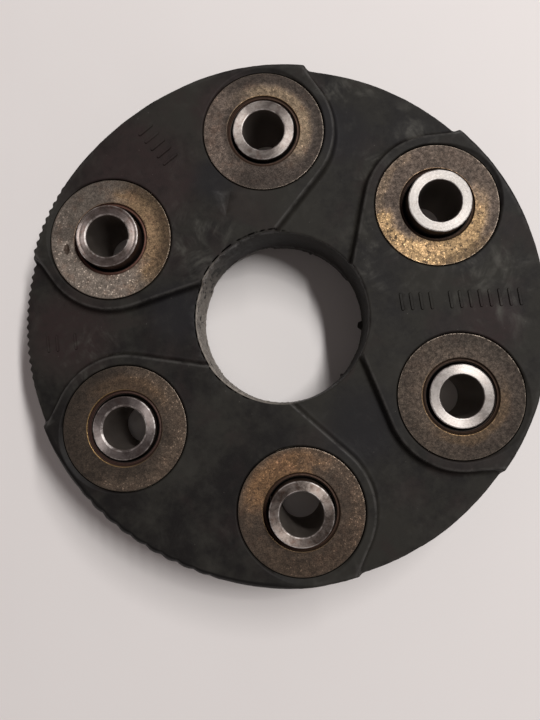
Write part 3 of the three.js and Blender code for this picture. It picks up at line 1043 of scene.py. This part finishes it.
def sleeve_material(n, look):
    """Turned steel: fine rings on the ends, bright edges, stains, a brown outside and a dull bore."""
    s = Shader(f"sleeve_steel_{n}")
    radius, outward = s.polar(s.moved(*PLACES[n]))
    rings = s.noise(0.3, 4, 0.75, place=s.node("ShaderNodeCombineXYZ", {0: radius}).outputs[0])
    patch = s.noise(2.8, 6, 0.68, 0.5, start=(6 * n, 3 * n))
    fine = s.noise(0.5, 5, 0.75, start=(2 * n, 8 * n))
    colour = s.mix(s.span(s.plus(patch, s.times(fine, 0.5)), 0.58, 0.9), look["dark"], look["light"])
    stain = s.times(s.span(s.noise(2.4, 5, 0.7, start=(4 * n, 9 * n)), 0.5, 0.68), look["stain"])
    colour = s.mix(stain, colour, SLEEVE_STAIN)
    side = s.beyond(radius, SLEEVE_RADIUS, -0.12, -0.02)
    colour = s.mix(s.times(side, 0.75), colour, SLEEVE_SIDE)
    bore = s.beyond(radius, BORE_RADIUS, 0.14, 0.04)
    colour = s.mix(s.times(bore, 0.8), colour, SLEEVE_BORE)
    end_face = s.times(s.minus(1.0, side), s.minus(1.0, bore))
    mouth = s.beyond(radius, BORE_RADIUS + SLEEVE_MOUTH[n], 0.06, -0.04)
    edges = s.times(s.plus(mouth, s.beyond(radius, SLEEVE_RADIUS, -0.36, -0.26)), end_face)
    edges = s.times(edges, s.span(patch, 0.42, 0.6, 0.15, 1.0))
    colour = s.mix(s.times(edges, 0.85), colour, SLEEVE_EDGE_SHINE)
    shine = s.span(s.plus(rings, patch), 0.7, 1.3, look["rough"], look["rough"] + 0.16)
    height = s.plus(s.times(rings, 1.3), s.times(fine, 0.6))
    s.set(Base_Color=colour, Roughness=s.plus(shine, s.times(bore, 0.1)), Normal=s.bump(height, 0.02))
    s.set(Metallic=1.0, Anisotropic=s.times(end_face, 0.82), Tangent=outward)
    return s.material


def cord_material():
    """Rubber-coated polyester cord: pale strands with dark rubber between them."""
    s = Shader("wound_cord")
    strand = s.cells(0.5, s.moved(0, 0, (0.15, 0.15, 1)))
    coat = s.noise(4, 4, 0.6)
    colour = s.mix(s.span(strand, 0.15, 0.5), (0.33, 0.27, 0.19), (0.10, 0.085, 0.065))
    colour = s.mix(s.span(coat, 0.45, 0.6), colour, (0.035, 0.03, 0.027))
    s.set(Base_Color=colour, Roughness=s.span(coat, 0.3, 0.7, 0.9, 0.6), Normal=s.bump(strand, 0.15))
    return s.material


def ring_material():
    s = Shader("plain_ring_steel")
    patch = s.noise(4, 5, 0.6)
    fine = s.noise(0.5, 4, 0.7)
    colour = s.mix(s.span(patch, 0.4, 0.65), (0.20, 0.185, 0.17), (0.34, 0.32, 0.30))
    s.set(Base_Color=colour, Metallic=0.9)
    s.set(Roughness=s.span(fine, 0.3, 0.7, 0.35, 0.55), Normal=s.bump(fine, 0.03))
    return s.material


RUBBER_DARK = (0.0070, 0.0060, 0.0058)
RUBBER_LIGHT = (0.0222, 0.0210, 0.0178)
RUBBER_BROWN = (0.0230, 0.0152, 0.0146)
RUBBER_BLUE = (0.0120, 0.0115, 0.0130)
DUST = (0.066, 0.064, 0.056)
PALE_DUST = (0.120, 0.114, 0.102)
# Worn rubber edges, partly a painted highlight
WORN_RUBBER_AND_SHEEN = (0.082, 0.079, 0.075)
# Torn grey rubber, partly painted light on the lit side of the hole's wall
TORN_RUBBER_AND_LIGHT = (0.260, 0.235, 0.205)
# Black painted shade for the hole's groove
GROOVE_PAINTED_SHADE = (0.002, 0.002, 0.002)
# Near-black painted shade on the rim's lower-left fin
FIN_PAINTED_SHADE = (0.004, 0.0035, 0.0035)
RUST_TINT = (1.0, 0.52, 0.32)
RUST_SPOT = (0.035, 0.022, 0.014)
WORN_COLLAR = (0.17, 0.145, 0.12)
# Black painted shade going into the gap round the sleeve
NECK_GAP_SHADE = (0.006, 0.005, 0.004)
SLEEVE_STAIN = (0.15, 0.065, 0.04)
SLEEVE_SIDE = (0.07, 0.048, 0.036)
SLEEVE_BORE = (0.24, 0.21, 0.185)
SLEEVE_EDGE_SHINE = (0.78, 0.74, 0.71)
SMEAR_ANGLES = (62, 118, 20, 95)
# Where the rubber is dusty, brownish or bluish black: x, y and reach
DUSTY_PATCHES = [
    (27, 65, 15), (28, 42, 11), (45, 52, 10), (32, 15, 18), (60, 3, 20), (-23, 24, 15), (-55, -7, 13),
]
BLUE_PATCHES = [(23, 53, 13), (53, 14, 10), (-16, 42, 9), (20, -33, 16), (-30, 4, 12)]
BROWN_PATCHES = [(-36, 45, 22), (-62, 1, 18), (-10, 62, 14), (58, -8, 12)]
# Each station's own patina and painted light. tone, gold and lip_highlight are its colours away from, in, and
# at the lip beside golden places, lip_highlight being a painted highlight line strongest towards shine, level
# how light the outer face is, inner how many times lighter it is by the lip. Each of gilt_and_glints is the
# side it lies on and half its spread in degrees, how far out it lies and half its width (0 at the lip, 1 at
# the edge), and what it
# adds of light, gold and silvery specks: the light and the specks are painted glints, the gold a gilt patina.
COLLAR_LOOKS = {
    1: dict(level=0.04, inner=1.2, tone=(1, 0.77, 0.62), gold=(1, 0.74, 0.47), lip_highlight=(0.16, 0.105, 0.055),
            lip=(0.042, 0.023, 0.015), shine=60, rust=0.25, spots=0.3,
            gilt_and_glints=[(35, 85, 0.12, 0.36, 3.2, 0.9, 0.3), (178, 55, 0.75, 0.5, 1.4, 0.0, 0.5)]),
    2: dict(level=0.073, inner=0.9, tone=(1, 0.75, 0.58), gold=(1, 0.67, 0.34), lip_highlight=(0.10, 0.06, 0.03),
            lip=(0.022, 0.011, 0.007), shine=60, rust=0.1, spots=0.85,
            gilt_and_glints=[(-60, 70, 0.12, 0.42, 3.0, 1.0, 0.3), (-132, 42, 0.8, 0.45, 3.2, 1.0, 0.8),
                   (-80, 40, 0.85, 0.4, 0.6, 0.9, 0.2), (170, 50, 0.9, 0.3, 0.5, 0.4, 0.6)]),
    3: dict(level=0.034, inner=1.7, tone=(1, 0.75, 0.56), gold=(1, 0.65, 0.36), lip_highlight=(0.12, 0.075, 0.035),
            lip=(0.026, 0.014, 0.008), shine=225, rust=0.15, spots=0.3,
            gilt_and_glints=[(-60, 70, 0.08, 0.28, 0.6, 0.9, 0.2), (175, 80, 0.6, 0.6, 0.25, 0.1, 0.2)]),
    4: dict(level=0.05, inner=1.05, tone=(1, 0.72, 0.52), gold=(1, 0.57, 0.28), lip_highlight=(0.13, 0.085, 0.045),
            lip=(0.036, 0.019, 0.012), shine=225, rust=0.3, spots=0.55,
            gilt_and_glints=[(120, 55, 0.3, 0.6, 1.9, 1.0, 0.5), (25, 50, 0.85, 0.4, 0.5, 0.1, 0.8),
                   (-70, 70, 0.7, 0.5, 0.1, 0.2, 0.6)]),
    5: dict(level=0.035, inner=1.3, tone=(1, 0.75, 0.56), gold=(1, 0.63, 0.36), lip_highlight=(0.30, 0.19, 0.08),
            lip=(0.042, 0.022, 0.017), shine=185, rust=0.15, spots=0.3,
            gilt_and_glints=[(15, 70, 0.8, 0.5, 1.2, 0.15, 0.9), (-85, 45, 0.9, 0.4, 0.8, 0.1, 0.9),
                   (80, 50, 0.2, 0.4, 0.5, 0.7, 0.1)]),
    6: dict(level=0.106, inner=1.1, tone=(1, 0.84, 0.70), gold=(1, 0.67, 0.38), lip_highlight=(0.16, 0.105, 0.07),
            lip=(0.082, 0.036, 0.026), shine=100, rust=0.25, spots=0.65,
            gilt_and_glints=[(15, 65, 0.12, 0.42, 0.9, 1.0, 0.2), (-110, 70, 0.4, 0.6, 0.75, 0.0, 1.0),
                   (5, 65, 0.85, 0.4, -0.3, 1.0, 0.0), (175, 40, 0.8, 0.4, 0.15, 0.0, 0.7)]),
}
# The offset of a dark rusty pit in a collar's face from its station
PITS = {6: (-13.2, -1.7)}
SLEEVE_LOOKS = {
    1: dict(dark=(0.19, 0.165, 0.152), light=(0.33, 0.30, 0.275), stain=0.35, rough=0.38),
    2: dict(dark=(0.19, 0.178, 0.166), light=(0.31, 0.295, 0.28), stain=0.1, rough=0.38),
    3: dict(dark=(0.19, 0.175, 0.163), light=(0.29, 0.27, 0.255), stain=0.1, rough=0.32),
    4: dict(dark=(0.115, 0.095, 0.083), light=(0.29, 0.25, 0.225), stain=0.3, rough=0.42),
    5: dict(dark=(0.16, 0.137, 0.13), light=(0.26, 0.23, 0.22), stain=0.2, rough=0.40),
    6: dict(dark=(0.17, 0.142, 0.125), light=(0.30, 0.255, 0.24), stain=0.5, rough=0.40),
}


# ---- building the pieces ----

def body_of(node):
    return next(body for body, nodes in frame["record"]["behaviour"]["bodies"].items() if node in nodes)


def dress(obj, node, material):
    """Gives a piece its material and hides the CAD node that it stands for."""
    obj.data.materials.clear()
    obj.data.materials.append(material)
    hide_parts(node)


def sharpen(obj, degrees):
    """Smooth shading that stays crisp at edges sharper than that."""
    limit = math.radians(degrees)
    mesh = bmesh.new()
    mesh.from_mesh(obj.data)
    for edge in mesh.edges:
        edge.smooth = len(edge.link_faces) != 2 or edge.calc_face_angle(0) < limit
    mesh.to_mesh(obj.data)
    mesh.free()


def build_steel():
    ring = ring_material()
    for n, place in PLACES.items():
        collar = collar_material(n, COLLAR_LOOKS[n])
        sleeve = sleeve_material(n, SLEEVE_LOOKS[n])
        ends = sleeve_outline(n, *heights(f"sleeve_{n}"))
        pieces = [
            ("turned_sleeve", "sleeve", ends, SLEEVE_SEGMENTS, sleeve),
            ("pressed_front_collar", "front_collar", collar_outline(), COLLAR_SEGMENTS, collar),
            ("pressed_back_collar", "back_collar", flipped(collar_outline()), COLLAR_SEGMENTS, collar),
            ("spacer_ring", "middle_ring", ring_outline(), COLLAR_SEGMENTS, ring),
        ]
        for name, node, outline, segments, material in pieces:
            piece = turned(f"{name}_{n}", outline, place, segments)
            if material is collar:
                age_collar(piece, n, place, SIDES[node.split("_")[0]])
            sharpen(piece, STEEL_CREASE)
            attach(piece, body_of(f"{node}_{n}"))
            dress(piece, f"{node}_{n}", material)


# Degrees from the nearest driving station, an odd one, up to which a point's wind-up share stays 0, and over
# which it then rises to 1
HELD = 19
BENDING = 22


def wind_up_share(points):
    """How far each point follows the driven side: fully near its stations, not at all near the others."""
    angle = np.degrees(np.arctan2(points[:, 1], points[:, 0]))
    from_odd = np.abs((angle - 90 + 60) % 120 - 60)
    return soft_step((from_odd - HELD) / BENDING)


def blend_piece(obj, odd, even, shares=None):
    """Bakes the piece's placing into its mesh; it is not bent, and odd, even and shares are not used."""
    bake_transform(obj)


def points_mm(obj):
    points = np.zeros(len(obj.data.vertices) * 3, np.float32)
    obj.data.vertices.foreach_get("co", points)
    return points.reshape(-1, 3).astype(float) / MM


def edge_wear_sheen_and_groove_shade(points):
    """How worn each point of the rubber is, where its lightening is partly a painted highlight: 1 on the
    lobes' top edges, below 0 in the hole's groove, which the material paints black as shade.
    """
    flat, height = points[:, :2], np.abs(points[:, 2])
    off_edge = np.where(points[:, 2] > 0, lobe_distance(flat, "front"), lobe_distance(flat, "back"))
    lobe = np.clip(1.25 - np.abs(off_edge) / 0.45, 0, 1) * (height > LOBE_LEVEL - 0.9)
    radius = np.hypot(*flat.T)
    # The rim's worn edge stays out of the fin's painted shade
    from_fin = angle_between(np.arctan2(flat[:, 1], flat[:, 0]), math.radians(SHADED_FIN_MIDDLE))
    off_fin = np.degrees(from_fin) > FIN_HALF
    rim = 0.25 * ((radius > RIM_RADIUS + 0.2) & (height > RECESS_LEVEL - 0.3) & off_fin)
    lip = 0.8 * ((radius < HOLE_RADIUS + 0.1) & (height > RECESS_LEVEL - 0.8))
    triangle = 0.45 * np.clip(triangle_inside(flat) / 0.4 + 0.2, 0, 1) * (points[:, 2] > LOBE_LEVEL - 1)
    # The hole's front groove gets values below 0, which the material paints black as shade
    groove = hole_groove(flat, "front") * (points[:, 2] > RECESS_LEVEL - 2)
    return np.max([lobe, rim, lip, triangle], axis=0) - 1.6 * groove


def build_rubber():
    body = rubber_mesh()
    cut_loops(body)
    sharpen(body, RUBBER_CREASE)
    points = points_mm(body)
    # Worn edges (partly a painted highlight) and the hole's groove (painted shade), kept per point
    wear_sheen_and_groove_shade = body.data.attributes.new("wear_sheen_and_groove_shade", "FLOAT", "POINT")
    wear_sheen_and_groove_shade.data.foreach_set("value", edge_wear_sheen_and_groove_shade(points).astype(np.float32))
    dress(body, "rubber_body", rubber_material())
    blend_piece(body, 1, 2, wind_up_share(points))


def build_loops():
    material = cord_material()
    for name in LOOPS:
        points, faces = swept_loop(name, wound_section(), spacing=1.2)
        loop = make_object(name.replace("cord_loop", "wound_packet"), points, faces)
        dress(loop, name, material)
        blend_piece(loop, *sorted((int(digit) for digit in name[-2:]), key=lambda n: n % 2 == 0))


# ---- floor, light and camera ----

def build_floor():
    size = 3.0
    half = size / 2 / MM
    corners = [(-half, -half), (half, -half), (half, half), (-half, half)]
    floor = make_object("floor", [(x, y, FLOOR_LEVEL) for x, y in corners], [(0, 1, 2, 3)])
    s = Shader("pale_floor")
    cloud = s.noise(60, 3, 0.5)
    s.set(Base_Color=s.mix(cloud, (0.76, 0.735, 0.725), (0.80, 0.775, 0.765)), Roughness=0.7)
    floor.data.materials.append(s.material)


def area_light(name, towards, distance, length, width, power, colour):
    """A long light that looks at the object from that direction, its length lying along Y."""
    away = Vector(towards).normalized()
    along = (Vector((0, 1, 0)) - away * away.y).normalized()
    data = bpy.data.lights.new(name, "AREA")
    data.shape = "RECTANGLE"
    data.size, data.size_y, data.energy, data.color = length, width, power, colour
    light = bpy.data.objects.new(name, data)
    light.location = distance * away
    light.rotation_euler = Matrix((along, away.cross(along), away)).transposed().to_euler()
    bpy.context.scene.collection.objects.link(light)


def build_lights():
    warm = (1.0, 0.972, 0.955)
    area_light("key", (0.40, 0.13, 1.0), distance=1.1, length=0.28, width=0.06, power=6.2, colour=warm)
    area_light("fill", (0.40, 0.43, 1.0), distance=1.1, length=0.36, width=0.07, power=4.1, colour=warm)
    world = bpy.data.worlds.new("studio")
    world.use_nodes = True
    tree = world.node_tree
    direction = add_node(tree, "ShaderNodeTexCoord").outputs["Generated"]
    upwards = add_node(tree, "ShaderNodeSeparateXYZ", {0: direction}).outputs["Z"]
    fade = {"Value": upwards, "From Min": 0.15, "From Max": 0.95, "To Min": 0.34, "To Max": 0.13}
    background = tree.nodes["Background"]
    feed(tree, background.inputs["Color"], (1.0, 0.88, 0.86, 1))
    feed(tree, background.inputs["Strength"], add_node(tree, "ShaderNodeMapRange", fade).outputs[0])
    bpy.context.scene.world = world


def build_camera():
    """The viewer leans over the disc's lower edge, with the disc turned a little to the left."""
    data = bpy.data.cameras.new("camera")
    data.sensor_width = 36
    data.lens = 36
    camera = bpy.data.objects.new("camera", data)
    data.shift_x = 0.0208
    data.shift_y = -0.0639
    camera.location = (0.00037, -0.02172, 0.21852)
    camera.rotation_euler = Euler([math.radians(a) for a in (6.155, 2.828, -5.463)])
    bpy.context.scene.collection.objects.link(camera)
    bpy.context.scene.camera = camera
    bpy.context.scene.view_settings.view_transform = "Standard"


build_camera()
build_lights()
build_floor()
build_steel()
build_loops()
build_rubber()
